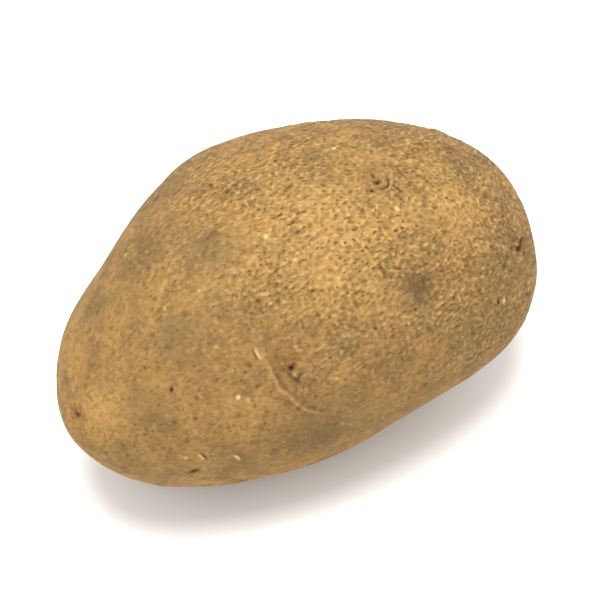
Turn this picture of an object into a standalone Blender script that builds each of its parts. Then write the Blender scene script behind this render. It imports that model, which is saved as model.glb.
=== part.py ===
"""A whole unpeeled potato lying on its side, modelled as the one solid that it grew as.

Metres, +Z up. The stem end points to -X and the rose end, where the eyes crowd, to +X.
The origin is on the surface that the potato rests on, under the middle of its outline from above.
"""

import math

import bmesh
import bpy
from mathutils import Matrix, Vector

MM = 0.001

# Driving sizes of the smooth body
LENGTH = 110.0 * MM
WIDTH = 71.0 * MM
HEIGHT = 63.0 * MM
WIDTH_TAPER = 0.12  # the rose end is this share wider than the middle, the stem end as much narrower
HEIGHT_TAPER = 0.035
SIDE_BEND = -4.3 * MM  # both ends curve this far to -Y
ARCH = -1.4 * MM  # both ends droop this far
FLAT_DEPTH = 0.6 * MM  # how much of the underside is pressed flat where it rests

# The grid of the bare body, in cells along X, Y and Z, and how far from an eye's middle and from
# the line of its brow the cells are halved, and halved again
CELLS = (26, 17, 17)
FINE_REACH = 5.0 * MM
FINEST_REACH = 2.7 * MM

# Places are given as (along, around): along runs from -1 at the stem end to 1 at the rose end,
# and around is in degrees about X, 0 on top, 90 on the -Y side and 180 underneath.

# Broad swellings and hollows: along, around, reach as a share of the body, height in mm
SWELLINGS = (
    (0.94, 63, 0.30, -0.9),
    (0.93, -10, 0.30, 0.7),
    (0.50, -46, 0.34, -1.0),
    (-0.08, -60, 0.24, 1.3),
    (-0.52, -66, 0.30, -1.6),
    (0.22, 115, 0.36, -1.8),
    (0.66, 104, 0.34, 0.9),
    (-0.66, 120, 0.42, -0.8),
    (0.10, -128, 0.40, 1.2),
    (-0.62, -128, 0.36, 0.8),
    (0.62, -118, 0.34, -1.1),
    (-0.28, 22, 0.36, 0.5),
    (-0.93, 163, 0.32, -1.3),
)

# Eyes: along, around, half width in mm, depth in mm, half length of the brow in mm, lean in degrees
# and how far the brow is shifted sideways in mm
EYES = (
    (-0.32, 54, 3.0, 0.9, 10.3, 20, 3.8),
    (0.33, 9, 2.0, 0.5, 3.5, -15, 0.0),
    (0.28, 46, 3.6, 0.7, 4.0, 10, 0.0),
    (0.75, 55, 2.6, 1.2, 4.5, -20, 0.0),
    (-0.49, -20, 2.8, 0.6, 6.0, -12, 0.0),
    (-0.74, -112, 2.8, 0.8, 6.0, 12, 1.0),
    (-0.08, -98, 3.4, 1.3, 8.0, -16, -1.5),
    (-0.46, 150, 3.0, 0.9, 7.0, 14, 1.5),
    (0.30, 152, 3.2, 1.1, 7.0, -10, 0.0),
    (0.48, -84, 3.2, 1.2, 7.0, 18, 1.0),
    (0.58, -152, 3.0, 1.1, 6.0, -14, -1.0),
    (0.80, 128, 2.8, 1.1, 5.0, 8, 0.0),
    (0.88, -48, 2.8, 1.2, 5.0, -8, 0.0),
    (0.985, 150, 3.2, 1.5, 4.0, 0, 0.0),
)
EYE_SHAPE = 0.62  # an eye is this share as long, from end to end of the potato, as it is wide
BROW_OFFSET = 4.2 * MM  # the brow's middle lies this far from the eye, towards the stem end
BROW_THICK = 1.0 * MM
BROW_SHARE = 0.45  # a brow's height, as a share of its eye's depth
BROW_RADIUS = 18.0 * MM  # the brow curves round its eye
CREASE_SHARE = 0.3  # the depth of the crease between an eye and its brow, as such a share
BROW_ENDS = 4  # the power that makes a brow run level and then end quickly
BROW_STEPS = (-0.9, -0.45, 0.0, 0.45, 0.9)  # places along a brow, as shares of its half length
EYE_REACH = 2.5  # an eye's relief is left out past this many half lengths of its brow
AXIS_STEP = 0.005  # small steps along and around, to find the directions at an eye
AXIS_STEP_DEG = 0.5

# The scar where the underground stem broke off
SCAR_AT = (-0.985, 8)
SCAR_RADIUS = 1.9 * MM
SCAR_DEPTH = 1.1 * MM
SCAR_LIP = 0.4 * MM
LIP_OUT = 1.7  # the lip's middle is this many radii out
LIP_THICK = 0.6  # and this many radii thick

SKIN_COLOUR = (0.42, 0.25, 0.10, 1.0)
SKIN_ROUGHNESS = 0.8


def direction(along, around):
    """The unit direction of a place given as (along, around in degrees)."""
    ring = math.sqrt(1.0 - along**2)
    turn = math.radians(around)
    return Vector((along, -math.sin(turn) * ring, math.cos(turn) * ring))


def body_point(unit):
    """The smooth body's point for a unit direction: a tapered, bent and swollen ellipsoid."""
    swell = 0.0
    for along, around, reach, height in SWELLINGS:
        apart = (unit - direction(along, around)).length / reach
        swell += height * MM * math.exp(-(apart**2))
    x = unit.x * LENGTH / 2
    y = unit.y * WIDTH / 2 * (1 + WIDTH_TAPER * unit.x) + SIDE_BEND * unit.x**2
    z = unit.z * HEIGHT / 2 * (1 + HEIGHT_TAPER * unit.x) + ARCH * unit.x**2
    return Vector((x, y, z)) + unit * swell


def ball_of_cells():
    """A unit ball of square cells, more of them along X, so that they come out even on the long body."""
    ball = bmesh.new()
    bmesh.ops.create_cube(ball, size=2.0)
    for axis, cells in enumerate(CELLS):
        along_axis = [
            edge
            for edge in ball.edges
            if abs((edge.verts[1].co - edge.verts[0].co).normalized()[axis]) > 0.5
        ]
        bmesh.ops.subdivide_edges(ball, edges=along_axis, cuts=cells - 1, use_grid_fill=True)
    for vert in ball.verts:
        x2, y2, z2 = (c * c for c in vert.co)
        vert.co = Vector(
            (
                vert.co.x * math.sqrt(1 - y2 / 2 - z2 / 2 + y2 * z2 / 3),
                vert.co.y * math.sqrt(1 - z2 / 2 - x2 / 2 + z2 * x2 / 3),
                vert.co.z * math.sqrt(1 - x2 / 2 - y2 / 2 + x2 * y2 / 3),
            )
        )
    return ball


def surface_axes(along, around, lean):
    """(the place on the body, the way round it, the way along it to the rose end), turned by lean."""
    place = body_point(direction(along, around))
    sideways = (body_point(direction(along, around + AXIS_STEP_DEG)) - place).normalized()
    forward = body_point(direction(along + AXIS_STEP, around)) - place
    forward = (forward - forward.project(sideways)).normalized()
    turn = math.radians(lean)
    leaning = sideways * math.cos(turn) + forward * math.sin(turn)
    return place, leaning, forward * math.cos(turn) - sideways * math.sin(turn)


def eye_relief(u, w, half_width, depth, brow_length, shift):
    """How far an eye raises or sinks the skin at u sideways and w forward of the eye's middle."""
    pit = math.exp(-((u / half_width) ** 2) - (w / (EYE_SHAPE * half_width)) ** 2)
    past_brow = w + BROW_OFFSET - (u - shift) ** 2 / (2 * BROW_RADIUS)
    ends = math.exp(-(((u - shift) / brow_length) ** BROW_ENDS))
    brow = math.exp(-((past_brow / BROW_THICK) ** 2)) * ends
    crease = math.exp(-((past_brow / BROW_THICK - 2) ** 2)) * ends
    return depth * (BROW_SHARE * brow - CREASE_SHARE * crease - pit)


def fine_places(eyes):
    """The middles of the eyes and the scar, and points along each brow: where the cells are made finer."""
    places = [body_point(direction(*SCAR_AT))]
    for (place, sideways, forward), (_, _, _, _, brow_length, _, shift) in zip(eyes, EYES):
        places.append(place)
        for share in BROW_STEPS:
            u = share * brow_length * MM
            w = u * u / (2 * BROW_RADIUS) - BROW_OFFSET
            places.append(place + sideways * (u + shift * MM) + forward * w)
    return places


def refine(ball, places, reach):
    """Halves the cells that lie within reach of one of the places on the body."""
    near = set()
    for face in ball.faces:
        middle = body_point(face.calc_center_median().normalized())
        if any((middle - place).length < reach for place in places):
            near.update(face.edges)
    bmesh.ops.subdivide_edges(ball, edges=list(near), cuts=1, use_grid_fill=True)


def scar_relief(distance):
    """A small crater with a raised corky lip."""
    pit = math.exp(-((distance / SCAR_RADIUS) ** 2))
    lip = math.exp(-(((distance / SCAR_RADIUS - LIP_OUT) / LIP_THICK) ** 2))
    return SCAR_LIP * lip - SCAR_DEPTH * pit


def carve(solid, eyes):
    """Sinks the eyes and the scar into the body and raises their brows."""
    scar = body_point(direction(*SCAR_AT))
    solid.normal_update()
    moves = []
    for vert in solid.verts:
        relief = scar_relief((vert.co - scar).length)
        for (place, sideways, forward), (_, _, *sizes, _, shift) in zip(eyes, EYES):
            half_width, depth, brow_length = (size * MM for size in sizes)
            apart = vert.co - place
            if apart.length < EYE_REACH * brow_length:
                u = apart.dot(sideways)
                w = apart.dot(forward)
                relief += eye_relief(u, w, half_width, depth, brow_length, shift * MM)
        moves.append(vert.normal * relief)
    for vert, move in zip(solid.verts, moves):
        vert.co += move


def rest_on_floor(solid):
    """Presses the underside flat where it rests, and puts the origin under the middle of the outline."""
    floor = min(vert.co.z for vert in solid.verts) + FLAT_DEPTH
    for vert in solid.verts:
        vert.co.z = max(vert.co.z, floor)
    xs = [vert.co.x for vert in solid.verts]
    ys = [vert.co.y for vert in solid.verts]
    middle = Vector(((min(xs) + max(xs)) / 2, (min(ys) + max(ys)) / 2, floor))
    bmesh.ops.transform(solid, matrix=Matrix.Translation(-middle), verts=solid.verts)


def skin_material():
    material = bpy.data.materials.new("potato_skin")
    material.use_nodes = True
    shader = material.node_tree.nodes["Principled BSDF"]
    shader.inputs["Base Color"].default_value = SKIN_COLOUR
    shader.inputs["Roughness"].default_value = SKIN_ROUGHNESS
    shader.inputs["Metallic"].default_value = 0.0
    return material


def make_potato():
    eyes = [surface_axes(along, around, lean) for along, around, _, _, _, lean, _ in EYES]
    places = fine_places(eyes)
    solid = ball_of_cells()
    refine(solid, places, FINE_REACH)
    refine(solid, places, FINEST_REACH)
    for vert in solid.verts:
        vert.co = body_point(vert.co.normalized())
    carve(solid, eyes)
    rest_on_floor(solid)
    bmesh.ops.recalc_face_normals(solid, faces=solid.faces)
    bmesh.ops.triangulate(solid, faces=solid.faces)
    mesh = bpy.data.meshes.new("potato")
    solid.to_mesh(mesh)
    solid.free()
    mesh.shade_smooth()
    mesh.materials.append(skin_material())
    potato = bpy.data.objects.new("potato", mesh)
    bpy.context.scene.collection.objects.link(potato)


def main():
    for old in list(bpy.data.objects):
        bpy.data.objects.remove(old)
    make_potato()


main()
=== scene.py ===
"""The finished look of a whole unpeeled potato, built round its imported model.

The file is laid out as an add-on and runs as a script. Places on the tuber are given as along and
around: along runs from -1 at the stem end to 1 at the rose end, and around is in degrees about X,
0 on top, 90 on the -Y side and 180 underneath. The marks on the skin are sized in millimetres.
"""

import math
import random
from collections import namedtuple
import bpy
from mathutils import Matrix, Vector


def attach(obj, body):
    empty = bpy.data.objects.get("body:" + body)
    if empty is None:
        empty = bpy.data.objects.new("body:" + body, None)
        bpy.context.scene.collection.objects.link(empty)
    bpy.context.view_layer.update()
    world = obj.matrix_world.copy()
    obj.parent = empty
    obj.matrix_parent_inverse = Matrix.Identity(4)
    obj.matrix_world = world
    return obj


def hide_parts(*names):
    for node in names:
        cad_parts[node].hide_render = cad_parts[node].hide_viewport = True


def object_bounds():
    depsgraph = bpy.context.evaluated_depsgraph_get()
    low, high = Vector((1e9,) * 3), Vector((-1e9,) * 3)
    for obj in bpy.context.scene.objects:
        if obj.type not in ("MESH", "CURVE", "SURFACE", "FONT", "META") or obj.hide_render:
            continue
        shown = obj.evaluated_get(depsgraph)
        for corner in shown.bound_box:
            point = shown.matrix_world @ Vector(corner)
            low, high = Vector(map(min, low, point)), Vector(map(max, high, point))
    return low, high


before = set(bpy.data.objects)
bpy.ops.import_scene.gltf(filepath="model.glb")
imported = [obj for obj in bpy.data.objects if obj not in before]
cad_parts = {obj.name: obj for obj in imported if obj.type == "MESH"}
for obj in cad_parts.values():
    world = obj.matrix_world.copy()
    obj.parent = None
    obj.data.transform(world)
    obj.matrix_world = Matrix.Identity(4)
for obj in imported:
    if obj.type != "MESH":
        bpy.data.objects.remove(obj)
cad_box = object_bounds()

from types import SimpleNamespace

import bmesh
import bpy
import numpy as np
from bpy.props import FloatProperty, FloatVectorProperty, IntProperty, PointerProperty
from bpy.types import Operator, Panel, PropertyGroup
from mathutils import Vector, noise
from mathutils.bvhtree import BVHTree
from mathutils.kdtree import KDTree

bl_info = {
    "name": "Whole Potato",
    "version": (1, 0, 0),
    "blender": (4, 5, 0),
    "location": "3D View > Sidebar > Potato",
    "description": "Grows the netted skin of a whole potato round its packed model and lights it",
    "category": "Add Mesh",
}

MM = 0.001

# The smooth body: how much wider and higher the rose end is than the middle, as a share, and how
# far both ends curve sideways and droop
WIDTH_TAPER = 0.12
HEIGHT_TAPER = 0.035
SIDE_BEND = -4.3 * MM
ARCH = -1.4 * MM
BOTTOM, TOP = cad_box
HALF = (TOP - BOTTOM) / 2
MIDDLE = (TOP + BOTTOM) / 2

# Eyes: along, around, half width, depth and half length of the brow in mm, lean in degrees and
# shift of the brow in mm. Then how open the bud's hole is and how plain the brow's line is, both
# from 0 to 1.
Eye = namedtuple("Eye", "along around half_width depth brow lean shift hole line")
EYES = (
    Eye(-0.32, 54, 3.0, 0.9, 10.3, 20, 3.8, 1.00, 0.80),
    Eye(0.33, 9, 2.0, 0.5, 3.5, -15, 0.0, 0.15, 0.20),
    Eye(0.28, 46, 3.6, 0.7, 4.0, 10, 0.0, 0.00, 0.10),
    Eye(0.75, 55, 2.6, 1.2, 4.5, -20, 0.0, 0.35, 0.10),
    Eye(-0.49, -20, 2.8, 0.6, 6.0, -12, 0.0, 0.12, 0.10),
    Eye(-0.74, -112, 2.8, 0.8, 6.0, 12, 1.0, 0.60, 0.45),
    Eye(-0.08, -98, 3.4, 1.3, 8.0, -16, -1.5, 0.90, 0.60),
    Eye(-0.46, 150, 3.0, 0.9, 7.0, 14, 1.5, 0.70, 0.40),
    Eye(0.30, 152, 3.2, 1.1, 7.0, -10, 0.0, 0.80, 0.50),
    Eye(0.48, -84, 3.2, 1.2, 7.0, 18, 1.0, 0.70, 0.40),
    Eye(0.58, -152, 3.0, 1.1, 6.0, -14, -1.0, 0.80, 0.40),
    Eye(0.80, 128, 2.8, 1.1, 5.0, 8, 0.0, 0.80, 0.35),
    Eye(0.88, -48, 2.8, 1.2, 5.0, -8, 0.0, 0.70, 0.30),
    Eye(0.985, 150, 3.2, 1.5, 4.0, 0, 0.0, 1.00, 0.30),
)
BROW_OFFSET = 4.2  # how far a brow's middle lies from its eye, towards the stem end
BROW_RADIUS = 18.0  # a brow curves round its eye
# The parts of each eye, in mm, or as shares of the eye's size for the hole, for the leaf scar's
# place and half length, and for the bud's place
EYE_SIZE = SimpleNamespace(least=0.65, per_depth=0.25)
HOLE = SimpleNamespace(shift=0.3, radius=0.62, depth=0.9, dark=1.3)
LEAF_SCAR = SimpleNamespace(
    below=1.4,
    lean=0.24,
    wander=0.5,
    wander_size=1.6,
    middle=1.8,
    half=2.3,
    thick=0.45,
    depth=0.3,
    dark=0.75,
)
BUD = SimpleNamespace(aside=1.4, below=0.3, width=0.4, length=0.35, height=0.24, pale=0.6)
BROW_LINE = SimpleNamespace(wander=0.55, wander_size=2.5, thick=0.27, height=0.2, pale=0.45)
BROW_BREAKS = SimpleNamespace(size=1.8, low=-0.5, high=0.3, crest_left=0.25, dark_lost=0.6)
BROW_CREASE = SimpleNamespace(past=0.8, width=0.4, depth=0.14, stain=0.9, dark=0.45)
BROW_STAIN = SimpleNamespace(before=1.2, width=0.9, amount=0.35)
WRINKLES = SimpleNamespace(spacing=1.3, spread=1.2, height=0.02, more_if_open=0.05)
EYE_STAIN = SimpleNamespace(spread=0.4, amount=0.15, more_if_open=0.75)
EYE_DUST = SimpleNamespace(spread=2.0, amount=0.2)
EYE_MARGIN = 5.0  # how far past its brow an eye still shows

# The scar where the underground stem broke off: along and around, then its size in mm, its torn
# fibres and its dark hollow
SCAR_AT = (-0.985, 8)
SCAR = SimpleNamespace(radius=1.9, reach=5, edge=1.3, stain=0.7, stain_radius=3.0)
FIBRES = SimpleNamespace(turns=2, pace=0.5, size=0.6, height=0.2, dark=0.35, dark_below=-0.1)
HOLLOW = SimpleNamespace(radius=0.7, depth=0.4, dark=0.9, dark_radius=0.8)

# Patches of soil dust: along, around, radius in mm, amount
SMUDGES = (
    (-0.50, -21, 4.5, 0.75),
    (-0.38, 0, 6.5, 0.75),
    (0.25, 49, 4.2, 1.00),
    (-0.60, 22, 5.0, 0.50),
    (-0.79, 56, 4.5, 0.65),
    (-0.26, 90, 7.0, 0.65),
    (0.40, 73, 5.0, 0.45),
    (0.64, 60, 6.0, 0.45),
    (-0.07, 56, 5.0, 0.40),
    (0.23, -8, 4.0, 0.45),
    (0.33, 6, 3.5, 0.45),
    (-0.24, -47, 7.0, 0.45),
    (-0.76, -25, 5.0, 0.75),
    (0.10, -90, 8.0, 0.40),
    (0.62, -120, 7.0, 0.45),
    (-0.50, -140, 8.0, 0.40),
    (0.15, 172, 9.0, 0.45),
    (-0.62, 150, 6.0, 0.35),
    (0.80, 160, 6.0, 0.35),
)
# Patches of brown: along, around, radius in mm, amount. The small ones and those away from the -Y
# side are thick cork. The broad ones low on the -Y side, at around 44 to 96, are painted shade that
# darkens the tuber towards the bottom there.
THICK_CORK_AND_SHADE_PATCHES = (
    (0.27, 51, 4.6, 1.00),
    (-0.58, 17, 5.0, 0.55),
    (-0.60, 44, 14.0, 0.55),
    (-0.30, 88, 12.0, 0.65),
    (0.08, 66, 9.0, 0.70),
    (-0.28, 68, 12.0, 0.75),
    (0.30, 78, 10.0, 0.50),
    (0.15, 96, 13.0, 0.75),
    (0.55, 84, 15.0, 0.80),
    (0.80, 60, 8.0, 0.45),
    (-0.55, -30, 12.0, 0.60),
    (-0.25, -42, 12.0, 0.60),
    (0.40, -130, 13.0, 0.50),
    (-0.40, 165, 14.0, 0.50),
)
# Hollows where soil has stuck: along, around, radius in mm, amount
SOIL_PATCHES = (
    (0.26, 48, 3.4, 0.38),
    (-0.79, 56, 3.0, 0.12),
    (-0.50, -21, 3.0, 0.12),
    (-0.27, 91, 4.0, 0.14),
)
# Patches where the skin is thin and golden: along, around, radius in mm, amount. The broad one on top
# at 0.05 along is a painted pool of light that brightens the top.
THIN_SKIN_AND_LIT_PATCHES = (
    (-0.91, 29, 5.0, 0.9),
    (-0.35, 14, 5.0, 0.5),
    (0.05, 18, 13.0, 1.0),
    (0.35, 21, 5.0, 0.6),
    (0.55, 29, 7.0, 0.8),
    (-0.55, 66, 6.0, 0.3),
    (0.30, -110, 11.0, 0.6),
    (-0.30, -150, 10.0, 0.6),
    (0.70, 150, 8.0, 0.5),
)
# thick carries thick cork and painted shade low on the -Y side; thin carries thin skin and a painted
# pool of light on top
PATCHES = {
    "dusty": SMUDGES,
    "thick": THICK_CORK_AND_SHADE_PATCHES,
    "dark": SOIL_PATCHES,
    "thin": THIN_SKIN_AND_LIT_PATCHES,
}
RAGGED_EDGE = SimpleNamespace(size=3.0, share=0.35)
DUST_HIDES = 0.75  # the share of the netting that dust fills

# The plainest pores: along, around and how pale
PLAIN_PORES = (
    (0.592, 72.5, 2.0),
    (-0.16, 10, 1.5),
    (0.335, 20.5, 1.6),
    (-0.52, 58, 1.3),
    (0.30, -12, 1.5),
    (-0.12, 22, 0.6),
    (0.02, 24, 0.5),
)
# The plainest pits: along, around, radius in mm and how dark
PLAIN_PITS = (
    (-0.71, 42, 0.38, 1.3),
    (-0.71, 99, 0.62, 1.2),
    (-0.30, -46, 0.42, 1.3),
    (0.147, 2.5, 0.40, 0.7),
    (0.338, 5.5, 0.38, 0.8),
    (0.337, 8.5, 0.44, 1.3),
    (0.295, 11, 0.46, 1.3),
    (0.318, 20.5, 0.36, 0.6),
    (0.258, 25.5, 0.38, 0.5),
    (0.218, 27, 0.38, 0.5),
    (-0.02, 18.5, 0.42, 0.5),
    (0.208, 16.5, 0.36, 0.45),
    (-0.07, 12.5, 0.36, 0.45),
    (0.218, 32.5, 0.42, 0.5),
    (0.565, 71, 0.42, 1.3),
    (0.767, 57, 0.62, 1.3),
)
# The plainest scuffs, cracks and crescents: along, around, lean from the tuber's length in
# degrees, half length in mm, bend in 1/mm, and how pale the lip and how dark the groove is
PLAIN_SCUFFS = (
    (-0.41, 45, 94, 1.3, 0.06, 0.8, 0.7),
    (-0.68, 85, -66, 1.3, 0.00, 0.7, 1.0),
    (-0.56, 90, -60, 1.2, 0.15, 1.0, 0.6),
    (0.357, 11.5, 17, 2.0, -0.36, 0.3, 1.5),
    (0.388, 13.5, -76, 1.3, 0.10, 0.2, 1.3),
    (0.79, 55, 32, 1.4, 0.08, 0.0, 1.1),
    (-0.30, 60, 40, 1.0, 0.15, 0.0, 0.8),
)

# The other pores, pits and scuffs fall at random. Each span is the least and the most, in mm where
# it is a size, and apart is how far two of them are from each other at least.
MARK_REACH = 3.5  # a pore or a pit shows out to this many radii
PORES = SimpleNamespace(
    apart=2.4,
    chance=0.6,
    radius=(0.26, 0.5),
    pale=(0.12, 0.72),
    rim=(0.0, 0.25),
)
PLAIN_PORE = SimpleNamespace(radius=0.45, rim=0.2)
# A pore's dome, dimple and ring, and its dark rim, as shares of its radius
DOME_HEIGHT = 0.20
DIMPLE = SimpleNamespace(radius=0.4, depth=0.14)
RING = SimpleNamespace(out=1.6, width=0.4, depth=0.06)
RIM = SimpleNamespace(out=1.5, width=0.45)
PORE_EDGE = SimpleNamespace(size=0.9, share=0.45)
PITS = SimpleNamespace(
    apart=1.3,
    least=0.15,
    radius=(0.24, 0.5),
    depth=(0.08, 0.28),
    dark=(0.2, 0.7),
)
PLAIN_PIT_DEPTH = 0.45  # as a share of its radius, for a pit of full darkness
PIT_STRETCH = 0.7  # 0 for a round pit, and near 1 for a long one
SCUFFS = SimpleNamespace(apart=6.0, chance=0.5, half=(0.6, 1.8), bend=0.05, pale=0.25, dark=0.4)
GROOVE = SimpleNamespace(width=0.35, depth=0.18, dark_width=0.3)
LIP = SimpleNamespace(out=0.45, width=0.35, height=0.08, pale_width=0.3)

# The layers of noise are cut from one noise, each this many features further on
LAYER_STEP = np.array((17.31, -9.17, 4.73))
# Gentle unevenness of the whole skin: size across and height in mm
UNEVENNESS = ((13.0, 0.34), (5.5, 0.12))

# The net and its finer grain are sums of plane waves of the cork, drawn out along the tuber
NET_WAVES = 10
GRAIN_WAVES = 18
NET_STRETCH = 0.70  # the waves' pace along the tuber, as a share of that across it
WAVE_SPREAD = 0.35  # how far the waves' lengths differ, as a share
GOLDEN_ANGLE = math.radians(137.508)
# They bend over broad and over short distances: size across and shift in mm
WARP = SimpleNamespace(size=6.0, shift=1.0)
RIPPLE = SimpleNamespace(size=2.4, shift=0.22)
# Where the net is strong: on top and towards the rose end, up to a wandering edge, and in patches
NET_SIDE = SimpleNamespace(top=0.8, start=0.35, wander=0.3, wander_size=18.0, rise=(-0.45, 0.60))
SMOOTH_SIDE = 0.23  # its strength on the smooth side
NET_MEAN = 0.78
NET_LIMITS = (0.15, 1.25)
SMALL_PATCHES = SimpleNamespace(size=4.5, share=0.34)
LARGE_PATCHES = SimpleNamespace(size=10.0, share=0.36)
# Between these values of the net a crest rises, as a furrow sinks, by these shares of its height
NET_RISE = (0.3, 1.7)
CREST_SHARE = 0.5
FURROW_SHARE = 0.6

# The grid of the skin, in cells along X, Y and Z, made finer near the eyes, brows and plain marks
CELLS = (160, 104, 96)
FINE_AT_EYE = 2.9 * MM
FINE_AT_BROW = 1.45 * MM
FINE_AT_MARK = 1.1 * MM
BROW_STEPS = (-0.9, -0.6, -0.3, 0.0, 0.3, 0.6, 0.9)  # places along a brow, from end to end
WELD = 0.01 * MM
RAY_START = 5.0 * MM
ROUNDING_LEVELS = 2
SMOOTHINGS = 3
SMOOTHING = 0.5
AROUND_STEP = 0.5  # a small step round the tuber, in degrees


def linear(colour):
    """An sRGB hex colour as the linear values that Blender works in."""
    channels = [int(colour[i : i + 2], 16) / 255 for i in (0, 2, 4)]
    return tuple(c / 12.92 if c <= 0.04045 else ((c + 0.055) / 1.055) ** 2.4 for c in channels)


class PotatoSkinSettings(PropertyGroup):
    """The sizes and colours of the potato's skin."""

    net_height: FloatProperty(
        name="Net height",
        description="How far the crests of the netting stand above its furrows",
        default=0.165 * MM,
        unit="LENGTH",
    )
    net_spacing: FloatProperty(
        name="Net spacing",
        description="About how far the crests of the netting are apart",
        default=2.3 * MM,
        unit="LENGTH",
    )
    grain_spacing: FloatProperty(
        name="Grain spacing",
        description="About how far the fine crests between those of the netting are apart",
        default=1.25 * MM,
        unit="LENGTH",
    )
    pores: IntProperty(
        name="Pores",
        description="How many breathing pores show",
        default=220,
    )
    pits: IntProperty(
        name="Pits",
        description="How many small dark pits the skin has",
        default=900,
    )
    scuffs: IntProperty(
        name="Scuffs",
        description="How many fine scratches the skin has",
        default=18,
    )
    seed: IntProperty(
        name="Seed",
        description="Another number scatters the marks elsewhere",
        default=7,
    )
    tan: FloatVectorProperty(
        name="Tan",
        description="The skin's main colour",
        size=3,
        subtype="COLOR",
        default=linear("8C6B3A"),
    )
    # Golden for young skin, and also a painted pool of light on top
    golden_and_lit: FloatVectorProperty(
        name="Golden",
        description="Where young skin shows through",
        size=3,
        subtype="COLOR",
        default=linear("9F7A43"),
    )
    # Brown for thick cork, and also painted shade low on the -Y side
    brown_and_shade: FloatVectorProperty(
        name="Brown",
        description="Where the cork is thicker",
        size=3,
        subtype="COLOR",
        default=linear("705430"),
    )
    dust: FloatVectorProperty(
        name="Dust",
        description="Dry soil dust on the skin",
        size=3,
        subtype="COLOR",
        default=linear("625132"),
    )
    # Cream for pores, scuffs and paler cork, and also painted highlight on the net's crests
    cream_and_highlight: FloatVectorProperty(
        name="Cream",
        description="Breathing pores, crests and fresh scuffs",
        size=3,
        subtype="COLOR",
        default=linear("CAA66A"),
    )
    # Soil, and also painted shade in the net's furrows
    soil: FloatVectorProperty(
        name="Soil",
        description="Soil held in the furrows of the net",
        size=3,
        subtype="COLOR",
        default=linear("412F16"),
    )
    umber: FloatVectorProperty(
        name="Umber",
        description="The bottoms of pits and eyes",
        size=3,
        subtype="COLOR",
        default=linear("28170C"),
    )
    russet: FloatVectorProperty(
        name="Russet",
        description="The reddish stain round the eyes",
        size=3,
        subtype="COLOR",
        default=linear("80502A"),
    )


class PotatoStageSettings(PropertyGroup):
    """The floor, the lights and the camera."""

    azimuth: FloatProperty(
        name="Azimuth",
        description="Where the camera stands round the potato",
        default=math.radians(-34.4),
        subtype="ANGLE",
    )
    elevation: FloatProperty(
        name="Elevation",
        description="How far above the floor the camera looks from",
        default=math.radians(50.0),
        subtype="ANGLE",
    )
    distance: FloatProperty(
        name="Distance",
        description="From the camera to the potato",
        default=0.7,
        unit="LENGTH",
    )
    fill: FloatProperty(
        name="Fill",
        description="The share of the picture's width that the potato takes",
        default=0.8,
        subtype="FACTOR",
    )
    key_power: FloatProperty(
        name="Key light",
        description="The main light's power in watts",
        default=12.2,
    )
    fill_strength: FloatProperty(
        name="Fill light",
        description="How bright the surroundings are",
        default=1.23,
    )


def direction(along, around):
    """The unit direction of a place given as (along, around in degrees)."""
    ring = math.sqrt(1.0 - along**2)
    turn = math.radians(around)
    return np.array((along, -math.sin(turn) * ring, math.cos(turn) * ring))


def body_points(units):
    """Points close to the tuber's skin for an array of unit directions."""
    x, y, z = units.T
    return np.stack(
        (
            MIDDLE.x + x * HALF.x,
            MIDDLE.y + y * HALF.y * (1 + WIDTH_TAPER * x) + SIDE_BEND * x**2,
            MIDDLE.z + z * HALF.z * (1 + HEIGHT_TAPER * x) + ARCH * x**2,
        ),
        axis=1,
    )


def tuber_tree():
    """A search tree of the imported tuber, with its loose triangles merged and its facets rounded."""
    shape = bmesh.new()
    shape.from_mesh(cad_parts["potato"].data)
    bmesh.ops.remove_doubles(shape, verts=shape.verts, dist=WELD)
    mesh = bpy.data.meshes.new("rounded_tuber")
    shape.to_mesh(mesh)
    shape.free()
    rounded = bpy.data.objects.new("rounded_tuber", mesh)
    bpy.context.scene.collection.objects.link(rounded)
    subdivision = rounded.modifiers.new("Rounding", "SUBSURF")
    subdivision.levels = ROUNDING_LEVELS
    subdivision.render_levels = ROUNDING_LEVELS
    tree = BVHTree.FromObject(rounded, bpy.context.evaluated_depsgraph_get())
    bpy.data.objects.remove(rounded)
    bpy.data.meshes.remove(mesh)
    return tree


def skin_axes(tree, along, around, lean=0.0):
    """(the place on the skin, the way round the tuber, the way to the rose end), turned by lean."""
    units = np.array([direction(along, around), direction(along, around + AROUND_STEP)])
    places = body_points(units)
    place, normal, _, _ = tree.find_nearest(Vector(places[0]))
    sideways = Vector(places[1]) - Vector(places[0])
    sideways = (sideways - sideways.project(normal)).normalized()
    forward = normal.cross(sideways) * math.copysign(1, normal.cross(sideways).x)
    turn = math.radians(lean)
    turned = sideways * math.cos(turn) + forward * math.sin(turn)
    return place, turned, forward * math.cos(turn) - sideways * math.sin(turn)


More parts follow.
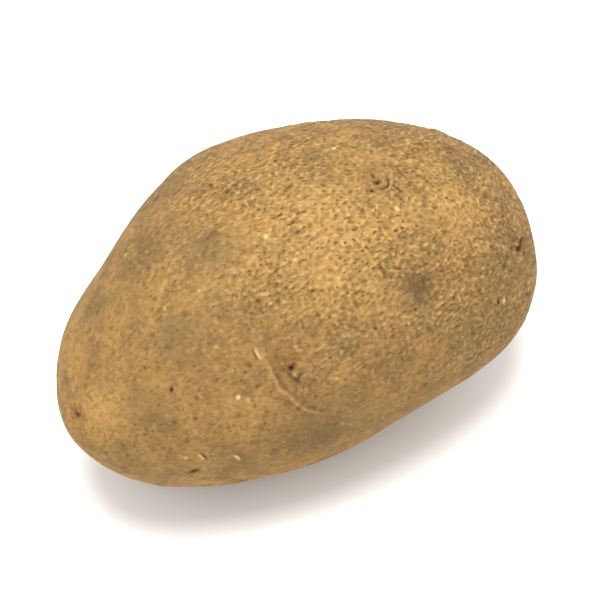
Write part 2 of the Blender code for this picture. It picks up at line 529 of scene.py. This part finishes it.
def skin_grid(tree, eyes):
    """An even grid of quads laid on the rounded tuber, finer where small marks are plain."""
    grid = bmesh.new()
    bmesh.ops.create_cube(grid, size=2.0)
    for axis, cells in enumerate(CELLS):
        along_axis = [
            edge
            for edge in grid.edges
            if abs((edge.verts[1].co - edge.verts[0].co).normalized()[axis]) > 0.5
        ]
        bmesh.ops.subdivide_edges(grid, edges=along_axis, cuts=cells - 1, use_grid_fill=True)
    cube = np.array([vert.co for vert in grid.verts])
    even = math.sqrt(2) * np.sin(cube * math.pi / 4)
    x2, y2, z2 = (even**2).T
    halves = np.stack((y2 + z2, z2 + x2, x2 + y2), axis=1) / 2
    thirds = np.stack((y2 * z2, z2 * x2, x2 * y2), axis=1) / 3
    ball = even * np.sqrt(1 - halves + thirds)
    for vert, place in zip(grid.verts, body_points(ball)):
        vert.co = place
    for vert in grid.verts:
        apart = vert.co - MIDDLE
        outward = Vector(a / half**2 for a, half in zip(apart, HALF)).normalized()
        hit, _, _, _ = tree.ray_cast(vert.co + outward * RAY_START, -outward)
        if hit is None:
            raise RuntimeError("a point of the skin grid misses the tuber")
        vert.co = hit
    refine(grid, fine_places(tree, eyes))
    for _ in range(SMOOTHINGS):
        bmesh.ops.smooth_vert(
            grid,
            verts=grid.verts,
            factor=SMOOTHING,
            use_axis_x=True,
            use_axis_y=True,
            use_axis_z=True,
        )
    bmesh.ops.recalc_face_normals(grid, faces=grid.faces)
    wide = [face for face in grid.faces if len(face.verts) > 4]
    bmesh.ops.triangulate(grid, faces=wide)
    return grid


def fine_places(tree, eyes):
    """(place, reach) wherever the grid is made finer."""
    places = []
    for (place, sideways, forward), eye in zip(eyes, EYES):
        places.append((place, FINE_AT_EYE))
        for share in BROW_STEPS:
            u = share * eye.brow
            w = u * u / (2 * BROW_RADIUS) - BROW_OFFSET
            on_brow = place + (sideways * (u + eye.shift) + forward * w) * MM
            places.append((on_brow, FINE_AT_BROW))
    for along, around, *_ in (*PLAIN_PORES, *PLAIN_PITS, *PLAIN_SCUFFS):
        places.append((skin_axes(tree, along, around)[0], FINE_AT_MARK))
    return places


def refine(grid, places):
    """Halves the grid's cells near each of the places."""
    near = KDTree(len(places))
    for index, (place, _) in enumerate(places):
        near.insert(place, index)
    near.balance()
    edges = set()
    for face in grid.faces:
        _, index, distance = near.find(face.calc_center_median())
        if distance < places[index][1]:
            edges.update(face.edges)
    bmesh.ops.subdivide_edges(grid, edges=list(edges), cuts=1, use_grid_fill=True)


def ramp(values, low, high):
    """0 below low, 1 above high and a smooth rise between them."""
    share = np.clip((values - low) / (high - low), 0, 1)
    return share * share * (3 - 2 * share)


def noise_field(points, size, layer):
    """Smooth noise from -1 to 1 at each point, with features of that size in mm.

    Each layer number gives another noise.
    """
    shifted = points / size + layer * LAYER_STEP
    return np.fromiter((noise.noise(point) for point in shifted.tolist()), float, len(points))


def bell(values):
    """1 in the middle, and near 0 from 2 on."""
    return np.exp(-(values**2))


def plateau(values):
    """1 inside, and a quick fall to 0 round 1."""
    return np.exp(-(values**4))


def between(span, share):
    """The value at that share of the way from the span's least to its most."""
    least, most = span
    return least + (most - least) * share


def cork_waves(count, spacing, seed):
    """(direction over wavelength in 1/mm, phase) of each of the plane waves that make a net."""
    rng = random.Random(seed)
    waves = []
    for index in range(count):
        rise = (index + 0.5) / count
        ring = math.sqrt(1 - rise**2)
        turn = index * GOLDEN_ANGLE
        pace = math.tau / (spacing * rng.uniform(1 - WAVE_SPREAD, 1 + WAVE_SPREAD))
        along = NET_STRETCH * math.cos(turn) * ring * pace
        heading = (along, math.sin(turn) * ring * pace, rise * pace)
        waves.append((heading, rng.uniform(0, math.tau)))
    return waves


class SkinField:
    """The skin's points in mm, with the relief and the marks that are laid on them."""

    # Of these, thick also carries painted shade low on the -Y side, and thin a painted pool of light
    # on top
    MARKS = ("rough", "pale", "dark", "stain", "dusty", "thick", "thin")

    def __init__(self, points, normals, tree, rng):
        self.points = points
        self.normals = normals
        self.tree = tree
        self.rng = rng
        self.grain_place = points
        self.strength = np.ones(len(points))
        self.relief = np.zeros(len(points))
        self.marks = {name: np.zeros(len(points)) for name in self.MARKS}

    def mark(self, name, amount, index=slice(None)):
        """Lays a mark on the points, where it is stronger than what is there."""
        self.marks[name][index] = np.maximum(self.marks[name][index], amount)

    def near(self, place, reach):
        """(the indices of the points within reach mm of a place, each one's offset from it)."""
        index = np.nonzero(np.abs(self.points - place).max(axis=1) < reach)[0]
        return index, self.points[index] - place

    def place(self, along, around):
        """A place on the skin in mm, given as (along, around)."""
        return np.array(skin_axes(self.tree, along, around)[0]) / MM

    def scatter(self, count, spread, wanted):
        """Random places on the skin, at least spread mm apart, and more where wanted is high."""
        taken = np.empty((0, 3))
        while len(taken) < count:
            index = self.rng.randrange(len(self.points))
            if self.rng.random() > wanted[index]:
                continue
            place = self.points[index]
            if len(taken) and np.linalg.norm(taken - place, axis=1).min() < spread:
                continue
            taken = np.vstack((taken, place))
        return taken

    def swell(self):
        """Gentle unevenness of the whole skin, from growing past stones and clods."""
        for layer, (size, height) in enumerate(UNEVENNESS, 1):
            self.relief += height * noise_field(self.points, size, layer)

    def lay_net(self, height, waves):
        """Cork netting: short curved crests and furrows, strongest on top and at the rose end."""
        points = self.points
        warp = np.stack([noise_field(points, WARP.size, layer) for layer in (3, 4, 5)], axis=1)
        ripple = np.stack([noise_field(points, RIPPLE.size, layer) for layer in (6, 7, 16)], axis=1)
        self.grain_place = points + WARP.shift * warp + RIPPLE.shift * ripple
        net = sum(np.cos(self.grain_place @ np.array(heading) + phase) for heading, phase in waves)
        net *= math.sqrt(2 / len(waves))
        patches = NET_MEAN + SMALL_PATCHES.share * noise_field(points, SMALL_PATCHES.size, 8)
        patches += LARGE_PATCHES.share * noise_field(points, LARGE_PATCHES.size, 9)
        along = points[:, 0] / (HALF.x / MM)
        rough_side = along + NET_SIDE.top * self.normals[:, 2] - NET_SIDE.start
        rough_side += NET_SIDE.wander * noise_field(points, NET_SIDE.wander_size, 10)
        side = between((SMOOTH_SIDE, 1.0), ramp(rough_side, *NET_SIDE.rise))
        self.strength = side * np.clip(patches, *NET_LIMITS)
        crests = CREST_SHARE * ramp(net, *NET_RISE)
        furrows = FURROW_SHARE * ramp(-net, *NET_RISE)
        self.relief += height * self.strength * (crests - furrows)
        self.mark("rough", self.strength / max(NET_LIMITS))

    def lay_patches(self):
        """Patches of dust, thick cork with painted shade, stuck soil, and thin skin with a painted
        pool of light. Dust fills the netting.
        """
        for name, patches in PATCHES.items():
            for along, around, radius, amount in patches:
                index, apart = self.near(self.place(along, around), 2 * radius)
                edge = RAGGED_EDGE.share * noise_field(self.points[index], RAGGED_EDGE.size, 12)
                away = np.linalg.norm(apart, axis=1) / radius
                self.mark(name, amount * bell(np.maximum(away + edge, 0)), index)
        self.marks["rough"] *= 1 - DUST_HIDES * self.marks["dusty"]

    def add_pore(self, place, radius, paleness, rim):
        """A breathing pore: a small pale dome with a dimple, and round it a darker rim."""
        index, apart = self.near(place, MARK_REACH * radius)
        away = np.linalg.norm(apart, axis=1) / radius
        away += PORE_EDGE.share * noise_field(self.points[index], PORE_EDGE.size, 13)
        dome = DOME_HEIGHT * bell(away) - DIMPLE.depth * bell(away / DIMPLE.radius)
        ring = RING.depth * bell((away - RING.out) / RING.width)
        self.relief[index] += radius * (dome - ring)
        self.mark("pale", paleness * bell(away), index)
        self.mark("dark", rim * bell((away - RIM.out) / RIM.width), index)

    def add_pores(self, count):
        """The plainest pores, and others at random, few of them very pale."""
        for along, around, paleness in PLAIN_PORES:
            place = self.place(along, around)
            self.add_pore(place, PLAIN_PORE.radius, paleness, PLAIN_PORE.rim)
        for place in self.scatter(count, PORES.apart, np.full(len(self.points), PORES.chance)):
            paleness = between(PORES.pale, self.rng.random() ** 3)
            radius = self.rng.uniform(*PORES.radius)
            self.add_pore(place, radius, paleness, self.rng.uniform(*PORES.rim))

    def add_pit(self, place, radius, depth, darkness):
        """A dark pit, drawn out in a random direction."""
        heading = np.array([self.rng.gauss(0, 1) for _ in range(3)])
        heading /= np.linalg.norm(heading)
        index, apart = self.near(place, MARK_REACH * radius)
        squared = (apart**2).sum(axis=1) - PIT_STRETCH * (apart @ heading) ** 2
        pit = np.exp(-squared / radius**2)
        self.relief[index] -= depth * pit
        self.mark("dark", darkness * pit, index)

    def add_pits(self, count):
        """The plainest pits, and others at random, more of them where the skin is rough."""
        for along, around, radius, darkness in PLAIN_PITS:
            depth = PLAIN_PIT_DEPTH * darkness * radius
            self.add_pit(self.place(along, around), radius, depth, darkness)
        wanted = np.clip(between((PITS.least, 1.0), self.strength), 0, 1)
        for place in self.scatter(count, PITS.apart, wanted):
            size = self.rng.random() ** 2
            darkness = between(PITS.dark, self.rng.random())
            self.add_pit(place, between(PITS.radius, size), between(PITS.depth, size), darkness)

    def add_scuff(self, place, heading, across, half, bend, paleness, darkness):
        """A fine curved scratch: a groove with a dark bottom and a raised lip on one side."""
        index, apart = self.near(place, half + 1)
        v = apart @ heading
        u = apart @ across - bend * v**2
        ends = plateau(v / half)
        lip = LIP.height * bell((u - LIP.out) / LIP.width)
        groove = GROOVE.depth * bell(u / GROOVE.width)
        self.relief[index] += (lip - groove) * ends
        self.mark("pale", paleness * bell((u - LIP.out) / LIP.pale_width) * ends, index)
        self.mark("dark", darkness * bell(u / GROOVE.dark_width) * ends, index)

    def add_scuffs(self, count):
        """The plainest scuffs, and others that lie at random on the skin."""
        for along, around, lean, half, bend, paleness, darkness in PLAIN_SCUFFS:
            place, across, heading = skin_axes(self.tree, along, around, lean)
            place, across, heading = np.array(place) / MM, np.array(across), np.array(heading)
            self.add_scuff(place, heading, across, half, bend, paleness, darkness)
        for place in self.scatter(count, SCUFFS.apart, np.full(len(self.points), SCUFFS.chance)):
            _, normal, _, _ = self.tree.find_nearest(Vector(place * MM))
            heading = Vector([self.rng.gauss(0, 1) for _ in range(3)])
            heading = (heading - heading.project(normal)).normalized()
            across = np.array(heading.cross(normal))
            heading = np.array(heading)
            half = self.rng.uniform(*SCUFFS.half)
            self.add_scuff(place, heading, across, half, SCUFFS.bend, SCUFFS.pale, SCUFFS.dark)

    def add_eye(self, axes, eye):
        """An eye's bud hole, bud, leaf scar, wrinkles and the fine line of its brow."""
        place, sideways, forward = (np.array(axis) for axis in axes)
        index, apart = self.near(place / MM, eye.brow + abs(eye.shift) + EYE_MARGIN)
        points = self.points[index]
        distance = np.linalg.norm(apart, axis=1)
        u = apart @ sideways
        w = apart @ forward

        size = EYE_SIZE.least + EYE_SIZE.per_depth * eye.depth
        side = u - HOLE.shift * eye.shift
        hole = eye.hole * bell(np.hypot(side, w) / (HOLE.radius * size))
        under = w + LEAF_SCAR.below * size - LEAF_SCAR.lean * side
        under += LEAF_SCAR.wander * noise_field(points, LEAF_SCAR.wander_size, 17)
        scar_ends = plateau((side - LEAF_SCAR.middle * size) / (LEAF_SCAR.half * size))
        leaf_scar = eye.hole * bell(under / LEAF_SCAR.thick) * scar_ends
        bud = eye.hole * bell((side - BUD.aside * size) / BUD.width)
        bud *= bell((w + BUD.below * size) / BUD.length)

        past = w + BROW_OFFSET - (u - eye.shift) ** 2 / (2 * BROW_RADIUS)
        past += BROW_LINE.wander * noise_field(points, BROW_LINE.wander_size, 14)
        ends = eye.line * plateau((u - eye.shift) / eye.brow)
        broken = noise_field(points, BROW_BREAKS.size, 15)
        broken = ramp(broken, BROW_BREAKS.low, BROW_BREAKS.high)
        crest = ends * bell(past / BROW_LINE.thick) * between((BROW_BREAKS.crest_left, 1.0), broken)
        crease = ends * bell((past - BROW_CREASE.past) / BROW_CREASE.width)
        shade = crease * (1 - BROW_BREAKS.dark_lost * broken)
        wrinkles = WRINKLES.height + WRINKLES.more_if_open * eye.hole
        wrinkles *= np.cos(past * math.tau / WRINKLES.spacing)
        wrinkles *= bell(distance / (eye.half_width + WRINKLES.spread))

        self.relief[index] += BROW_LINE.height * crest - BROW_CREASE.depth * crease
        self.relief[index] += BUD.height * bud + wrinkles
        self.relief[index] -= HOLE.depth * size * hole + LEAF_SCAR.depth * leaf_scar
        stain = EYE_STAIN.amount + EYE_STAIN.more_if_open * eye.hole
        stain *= bell(distance / (eye.half_width + EYE_STAIN.spread))
        outer = BROW_STAIN.amount * ends * bell((past + BROW_STAIN.before) / BROW_STAIN.width)
        self.mark("stain", np.maximum(stain + BROW_CREASE.stain * crease, outer), index)
        self.mark("dark", HOLE.dark * hole, index)
        self.mark("dark", LEAF_SCAR.dark * leaf_scar, index)
        self.mark("dark", BROW_CREASE.dark * shade, index)
        self.mark("pale", np.maximum(BROW_LINE.pale * crest, BUD.pale * bud), index)
        dust = EYE_DUST.amount * bell(distance / (eye.half_width + EYE_DUST.spread))
        self.mark("dusty", dust, index)

    def add_stem_scar(self, place):
        """The stem end's scar: torn cork round a dark hollow."""
        index, apart = self.near(np.array(place) / MM, SCAR.reach * SCAR.radius)
        away = np.linalg.norm(apart, axis=1)
        turn = np.arctan2(apart[:, 2], apart[:, 1])
        turns = FIBRES.turns
        rings = np.stack((turns * np.cos(turn), turns * np.sin(turn), FIBRES.pace * away), axis=1)
        torn = noise_field(rings, FIBRES.size, 11)
        inside = plateau(away / (SCAR.edge * SCAR.radius))
        self.relief[index] += FIBRES.height * torn * inside
        self.relief[index] -= HOLLOW.depth * bell(away / HOLLOW.radius)
        self.mark("dark", HOLLOW.dark * bell(away / HOLLOW.dark_radius), index)
        self.mark("dark", FIBRES.dark * inside * (torn < FIBRES.dark_below), index)
        self.mark("stain", SCAR.stain * bell(away / SCAR.stain_radius), index)


def grow_mesh(settings):
    """The skin's mesh, with its relief in its points and its marks as point attributes."""
    tree = tuber_tree()
    eyes = [skin_axes(tree, eye.along, eye.around, eye.lean) for eye in EYES]
    grid = skin_grid(tree, eyes)
    mesh = bpy.data.meshes.new("netted_skin")
    grid.to_mesh(mesh)
    grid.free()
    points = np.zeros((len(mesh.vertices), 3))
    normals = np.zeros((len(mesh.vertices), 3))
    mesh.vertices.foreach_get("co", points.ravel())
    mesh.vertex_normals.foreach_get("vector", normals.ravel())
    skin = SkinField(points / MM, normals, tree, random.Random(settings.seed))
    skin.swell()
    net_waves = cork_waves(NET_WAVES, settings.net_spacing / MM, settings.seed)
    skin.lay_net(settings.net_height / MM, net_waves)
    skin.lay_patches()
    skin.add_pores(settings.pores)
    skin.add_pits(settings.pits)
    skin.add_scuffs(settings.scuffs)
    for axes, eye in zip(eyes, EYES):
        skin.add_eye(axes, eye)
    skin.add_stem_scar(skin_axes(tree, *SCAR_AT)[0])
    moved = points + normals * skin.relief[:, None] * MM
    moved[:, 2] = np.maximum(moved[:, 2], 0.0)
    mesh.vertices.foreach_set("co", moved.ravel())
    grain_place = mesh.attributes.new("grain_place", "FLOAT_VECTOR", "POINT")
    grain_place.data.foreach_set("vector", skin.grain_place.ravel())
    for name, values in skin.marks.items():
        layer = mesh.attributes.new(name, "FLOAT", "POINT")
        layer.data.foreach_set("value", np.clip(values, 0, 1))
    mesh.update()
    mesh.shade_smooth()
    return mesh


# Noises of the skin's colour: grain in mm along the tuber and across it, detail, roughness and
# distortion. Dry soil's grit is finer than 0.1 mm, and is drawn as coarse as it needs to show.
NOISES = {
    "broad": (15.0, 12.0, 3.0, 0.50, 0.0),
    "patchy": (7.0, 6.0, 4.0, 0.60, 0.0),
    "cloudy": (3.6, 3.0, 4.0, 0.66, 0.0),
    "mottled": (1.5, 1.2, 3.0, 0.60, 0.0),
    "pitted": (0.95, 0.55, 1.0, 0.40, 0.20),
    "gritty": (0.42, 0.36, 3.0, 0.60, 0.0),
}
# Where each of them shows: the noise, its value at 0 and its value at 1
MASKS = {
    "golden_broad": ("broad", 0.50, 0.64),
    "olive_broad": ("broad", 0.50, 0.36),
    "brown_patches": ("patchy", 0.46, 0.70),
    "golden_patches": ("patchy", 0.51, 0.33),
    "olive_clouds": ("cloudy", 0.46, 0.72),
    "russet_clouds": ("cloudy", 0.44, 0.28),
    "brown_mottle": ("mottled", 0.50, 0.68),
    "pale_mottle": ("mottled", 0.46, 0.28),
    "broken": ("cloudy", 0.62, 0.40),
    "swells": ("net", -2.0, 2.0),
    # strokes, crests and furrows steer painted shade in the net's furrows and painted highlight on
    # its crests
    "strokes": ("net", -0.9, -1.7),
    "ripples": ("grain", -2.2, 2.2),
    "crests": ("grain", 0.4, 1.9),
    "furrows": ("grain", -0.2, -1.7),
    "pits": ("pitted", 0.64, 0.71),
    "pale_pips": ("pitted", 0.35, 0.26),
    "grit": ("gritty", 0.35, 0.65),
    "dark_grit": ("gritty", 0.56, 0.72),
}
# Colours laid one over another on the tan: the colour, the marks and masks that it follows, and
# its share
LAYERS = (
    ("golden_and_lit", ("golden_broad",), 0.50),
    ("dust", ("olive_broad",), 0.35),
    ("brown_and_shade", ("brown_patches",), 0.80),
    ("dust", ("brown_patches", "olive_clouds"), 0.55),
    ("golden_and_lit", ("golden_patches",), 0.50),
    ("dust", ("olive_clouds",), 0.30),
    ("russet", ("russet_clouds",), 0.30),
    # Golden on thin skin, and a painted pool of light on top
    ("golden_and_lit", ("thin",), 0.62),
    ("cream_and_highlight", ("thin",), 0.08),
    # Brown on thick cork, and painted shade low on the -Y side
    ("brown_and_shade", ("thick",), 0.85),
    ("dust", ("dusty",), 0.80),
    ("russet", ("stain",), 0.50),
    ("soil", ("stain", "brown_mottle"), 0.35),
    ("brown_and_shade", ("brown_mottle",), 0.60),
    ("golden_and_lit", ("pale_mottle",), 0.50),
    # Soil and painted shade in the net's furrows
    ("soil", ("strokes", "rough"), 0.23),
    ("soil", ("furrows", "rough"), 0.45),
    ("soil", ("furrows",), 0.10),
    # Paler cork and painted highlight on the net's crests
    ("cream_and_highlight", ("crests", "rough"), 0.33),
    ("cream_and_highlight", ("crests", "rough", "broken"), 0.25),
    ("soil", ("pits", "rough"), 0.85),
    ("soil", ("pits",), 0.40),
    ("soil", ("dark_grit",), 0.35),
    ("cream_and_highlight", ("pale_pips", "rough"), 0.35),
    ("umber", ("dark",), 0.95),
    ("cream_and_highlight", ("pale",), 0.90),
)
# Relief too fine for the mesh: the marks and masks that it follows, and its height in mm
RELIEFS = (
    (("swells", "rough"), 0.12),
    (("ripples", "rough"), 0.37),
    (("pits", "rough"), -0.15),
    (("grit",), 0.025),
)
SKIN_ROUGHNESS = 0.82
SKIN_IOR = 1.45
SKIN_SPECULAR = 0.2
# The colour sockets of a Mix node
MIX_A, MIX_B, MIXED = 6, 7, 2


def add_node(tree, kind, inputs=None, **settings):
    """Adds a shader node with its settings, and sets each of its inputs to a value or links it."""
    node = tree.nodes.new(kind)
    for name, value in settings.items():
        setattr(node, name, value)
    for name, value in (inputs or {}).items():
        if isinstance(value, bpy.types.NodeSocket):
            tree.links.new(value, node.inputs[name])
        else:
            node.inputs[name].default_value = value
    return node


def cork_skin_material(settings):
    """Periderm, the thin cork skin of a potato, grown and then dusted with dry soil.

    It looks matt and warm, with pale crests that carry painted highlight, darker furrows that carry
    soil and painted shade, and small pale pores.
    """
    material = bpy.data.materials.new("potato_cork_skin_grown")
    material.use_nodes = True
    tree = material.node_tree
    shader = tree.nodes["Principled BSDF"]
    place = add_node(tree, "ShaderNodeTexCoord").outputs["Object"]

    values = {
        name: add_node(tree, "ShaderNodeAttribute", attribute_name=name).outputs["Fac"]
        for name in SkinField.MARKS
    }
    noises = {}
    for name, (along, across, detail, roughness, distortion) in NOISES.items():
        scale = (1 / (along * MM), 1 / (across * MM), 1 / (across * MM))
        scaled = add_node(tree, "ShaderNodeMapping", {"Vector": place, "Scale": scale})
        inputs = {
            "Vector": scaled.outputs["Vector"],
            "Scale": 1.0,
            "Detail": detail,
            "Roughness": roughness,
            "Distortion": distortion,
        }
        noises[name] = add_node(tree, "ShaderNodeTexNoise", inputs).outputs["Fac"]
    grown = add_node(tree, "ShaderNodeAttribute", attribute_name="grain_place").outputs["Vector"]
    for name, count, spacing in (
        ("net", NET_WAVES, settings.net_spacing),
        ("grain", GRAIN_WAVES, settings.grain_spacing),
    ):
        total = 0.0
        for heading, phase in cork_waves(count, spacing / MM, settings.seed):
            inputs = {0: grown, 1: heading}
            along = add_node(tree, "ShaderNodeVectorMath", inputs, operation="DOT_PRODUCT")
            inputs = {0: along.outputs["Value"], 1: phase}
            shifted = add_node(tree, "ShaderNodeMath", inputs, operation="ADD").outputs[0]
            wave = add_node(tree, "ShaderNodeMath", {0: shifted}, operation="COSINE").outputs[0]
            inputs = {0: wave, 1: total}
            total = add_node(tree, "ShaderNodeMath", inputs, operation="ADD").outputs[0]
        inputs = {0: total, 1: math.sqrt(2 / count)}
        noises[name] = add_node(tree, "ShaderNodeMath", inputs, operation="MULTIPLY").outputs[0]
    for name, (noise_name, at_zero, at_one) in MASKS.items():
        inputs = {"Value": noises[noise_name], "From Min": at_zero, "From Max": at_one}
        mask = add_node(tree, "ShaderNodeMapRange", inputs, interpolation_type="SMOOTHSTEP")
        values[name] = mask.outputs["Result"]

    base = (*settings.tan, 1.0)
    for colour, names, share in LAYERS:
        for name in names:
            inputs = {0: values[name], 1: share}
            share = add_node(tree, "ShaderNodeMath", inputs, operation="MULTIPLY").outputs[0]
        inputs = {0: share, MIX_A: base, MIX_B: (*getattr(settings, colour), 1.0)}
        base = add_node(tree, "ShaderNodeMix", inputs, data_type="RGBA").outputs[MIXED]
    tree.links.new(base, shader.inputs["Base Color"])

    total = 0.0
    for names, height in RELIEFS:
        for name in names:
            inputs = {0: values[name], 1: height}
            height = add_node(tree, "ShaderNodeMath", inputs, operation="MULTIPLY").outputs[0]
        inputs = {0: height, 1: total}
        total = add_node(tree, "ShaderNodeMath", inputs, operation="ADD").outputs[0]
    bump = add_node(tree, "ShaderNodeBump", {"Height": total, "Strength": 1.0, "Distance": MM})
    tree.links.new(bump.outputs["Normal"], shader.inputs["Normal"])

    shader.inputs["Roughness"].default_value = SKIN_ROUGHNESS
    shader.inputs["Metallic"].default_value = 0.0
    shader.inputs["IOR"].default_value = SKIN_IOR
    shader.inputs["Specular IOR Level"].default_value = SKIN_SPECULAR
    return material


class POTATO_OT_grow_skin(Operator):
    """Grow the netted skin, with its eyes, pores and pits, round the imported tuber"""

    bl_idname = "potato.grow_skin"
    bl_label = "Grow Skin"

    def execute(self, context):
        settings = context.scene.potato_skin
        skin = bpy.data.objects.new("netted_tuber", grow_mesh(settings))
        context.scene.collection.objects.link(skin)
        skin.data.materials.append(cork_skin_material(settings))
        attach(skin, "root")
        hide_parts("potato")
        return {"FINISHED"}


PAPER_ROUGHNESS = 0.95
PAPER_SPECULAR = 0.1
FLOOR_HALF_WIDTH = 4.0
# The softbox's width, and where it hangs, 1 m away: overhead, and a little towards the camera and
# the left
SOFTBOX_WIDTH = 0.6
KEY_OVERHEAD = 0.93
KEY_FORWARD = 0.08
KEY_LEFT = 0.05


def matt_paper_material():
    """White background paper, pressed and uncoated: even, bright and without gloss."""
    material = bpy.data.materials.new("background_paper_matt")
    material.use_nodes = True
    shader = material.node_tree.nodes["Principled BSDF"]
    shader.inputs["Base Color"].default_value = (*linear("F7F6F3"), 1.0)
    shader.inputs["Roughness"].default_value = PAPER_ROUGHNESS
    shader.inputs["Specular IOR Level"].default_value = PAPER_SPECULAR
    return material


def add_light(name, place, size, power, aim):
    """A round soft light that shines from its place to the aim."""
    light = bpy.data.lights.new(name, "AREA")
    light.shape = "DISK"
    light.size = size
    light.energy = power
    lamp = bpy.data.objects.new(name, light)
    lamp.location = place
    lamp.rotation_euler = (place - aim).to_track_quat("Z", "Y").to_euler()
    bpy.context.scene.collection.objects.link(lamp)


class POTATO_OT_set_stage(Operator):
    """Lay the white floor, hang the soft lights and place the camera"""

    bl_idname = "potato.set_stage"
    bl_label = "Set Stage"

    def execute(self, context):
        settings = context.scene.potato_stage
        scene = context.scene
        sheet = bmesh.new()
        bmesh.ops.create_grid(sheet, x_segments=1, y_segments=1, size=FLOOR_HALF_WIDTH)
        mesh = bpy.data.meshes.new("floor")
        sheet.to_mesh(mesh)
        sheet.free()
        floor = bpy.data.objects.new("floor", mesh)
        scene.collection.objects.link(floor)
        mesh.materials.append(matt_paper_material())

        azimuth, elevation = settings.azimuth, settings.elevation
        back = Vector(
            (
                math.sin(azimuth) * math.cos(elevation),
                -math.cos(azimuth) * math.cos(elevation),
                math.sin(elevation),
            )
        )
        right = Vector((math.cos(azimuth), math.sin(azimuth), 0.0))
        up = back.cross(right)
        seen = [vert.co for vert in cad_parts["potato"].data.vertices]
        across = [co.dot(right) for co in seen]
        upward = [co.dot(up) for co in seen]
        aim = (
            right * (min(across) + max(across)) / 2
            + up * (min(upward) + max(upward)) / 2
            + back * MIDDLE.dot(back)
        )
        lens = bpy.data.cameras.new("camera")
        camera = bpy.data.objects.new("camera", lens)
        scene.collection.objects.link(camera)
        camera.location = aim + back * settings.distance
        camera.rotation_euler = back.to_track_quat("Z", "Y").to_euler()
        width = max(across) - min(across)
        lens.lens = lens.sensor_width * settings.distance * settings.fill / width
        scene.camera = camera

        overhead = Vector((0.0, 0.0, 1.0))
        forward = Vector((back.x, back.y, 0.0)).normalized()
        key_from = overhead * KEY_OVERHEAD + forward * KEY_FORWARD - right * KEY_LEFT
        key_place = aim + key_from.normalized()
        add_light("key_softbox", key_place, SOFTBOX_WIDTH, settings.key_power, aim)
        world = bpy.data.worlds.new("studio")
        world.use_nodes = True
        background = world.node_tree.nodes["Background"]
        background.inputs["Color"].default_value = (*linear("FAFBFE"), 1.0)
        background.inputs["Strength"].default_value = settings.fill_strength
        scene.world = world
        scene.view_settings.view_transform = "Standard"
        return {"FINISHED"}


class POTATO_PT_panel(Panel):
    """Lists the potato's pieces and its stage in the sidebar."""

    bl_label = "Potato"
    bl_space_type = "VIEW_3D"
    bl_region_type = "UI"
    bl_category = "Potato"

    def draw(self, context):
        for settings, operator in (
            (context.scene.potato_skin, POTATO_OT_grow_skin),
            (context.scene.potato_stage, POTATO_OT_set_stage),
        ):
            box = self.layout.box()
            for name in settings.__annotations__:
                box.prop(settings, name)
            box.operator(operator.bl_idname)


CLASSES = (
    PotatoSkinSettings,
    PotatoStageSettings,
    POTATO_OT_grow_skin,
    POTATO_OT_set_stage,
    POTATO_PT_panel,
)


def register():
    for cls in CLASSES:
        bpy.utils.register_class(cls)
    bpy.types.Scene.potato_skin = PointerProperty(type=PotatoSkinSettings)
    bpy.types.Scene.potato_stage = PointerProperty(type=PotatoStageSettings)


def unregister():
    del bpy.types.Scene.potato_skin
    del bpy.types.Scene.potato_stage
    for cls in reversed(CLASSES):
        bpy.utils.unregister_class(cls)


def main():
    register()
    bpy.ops.potato.grow_skin()
    bpy.ops.potato.set_stage()


if __name__ == "__main__":
    main()
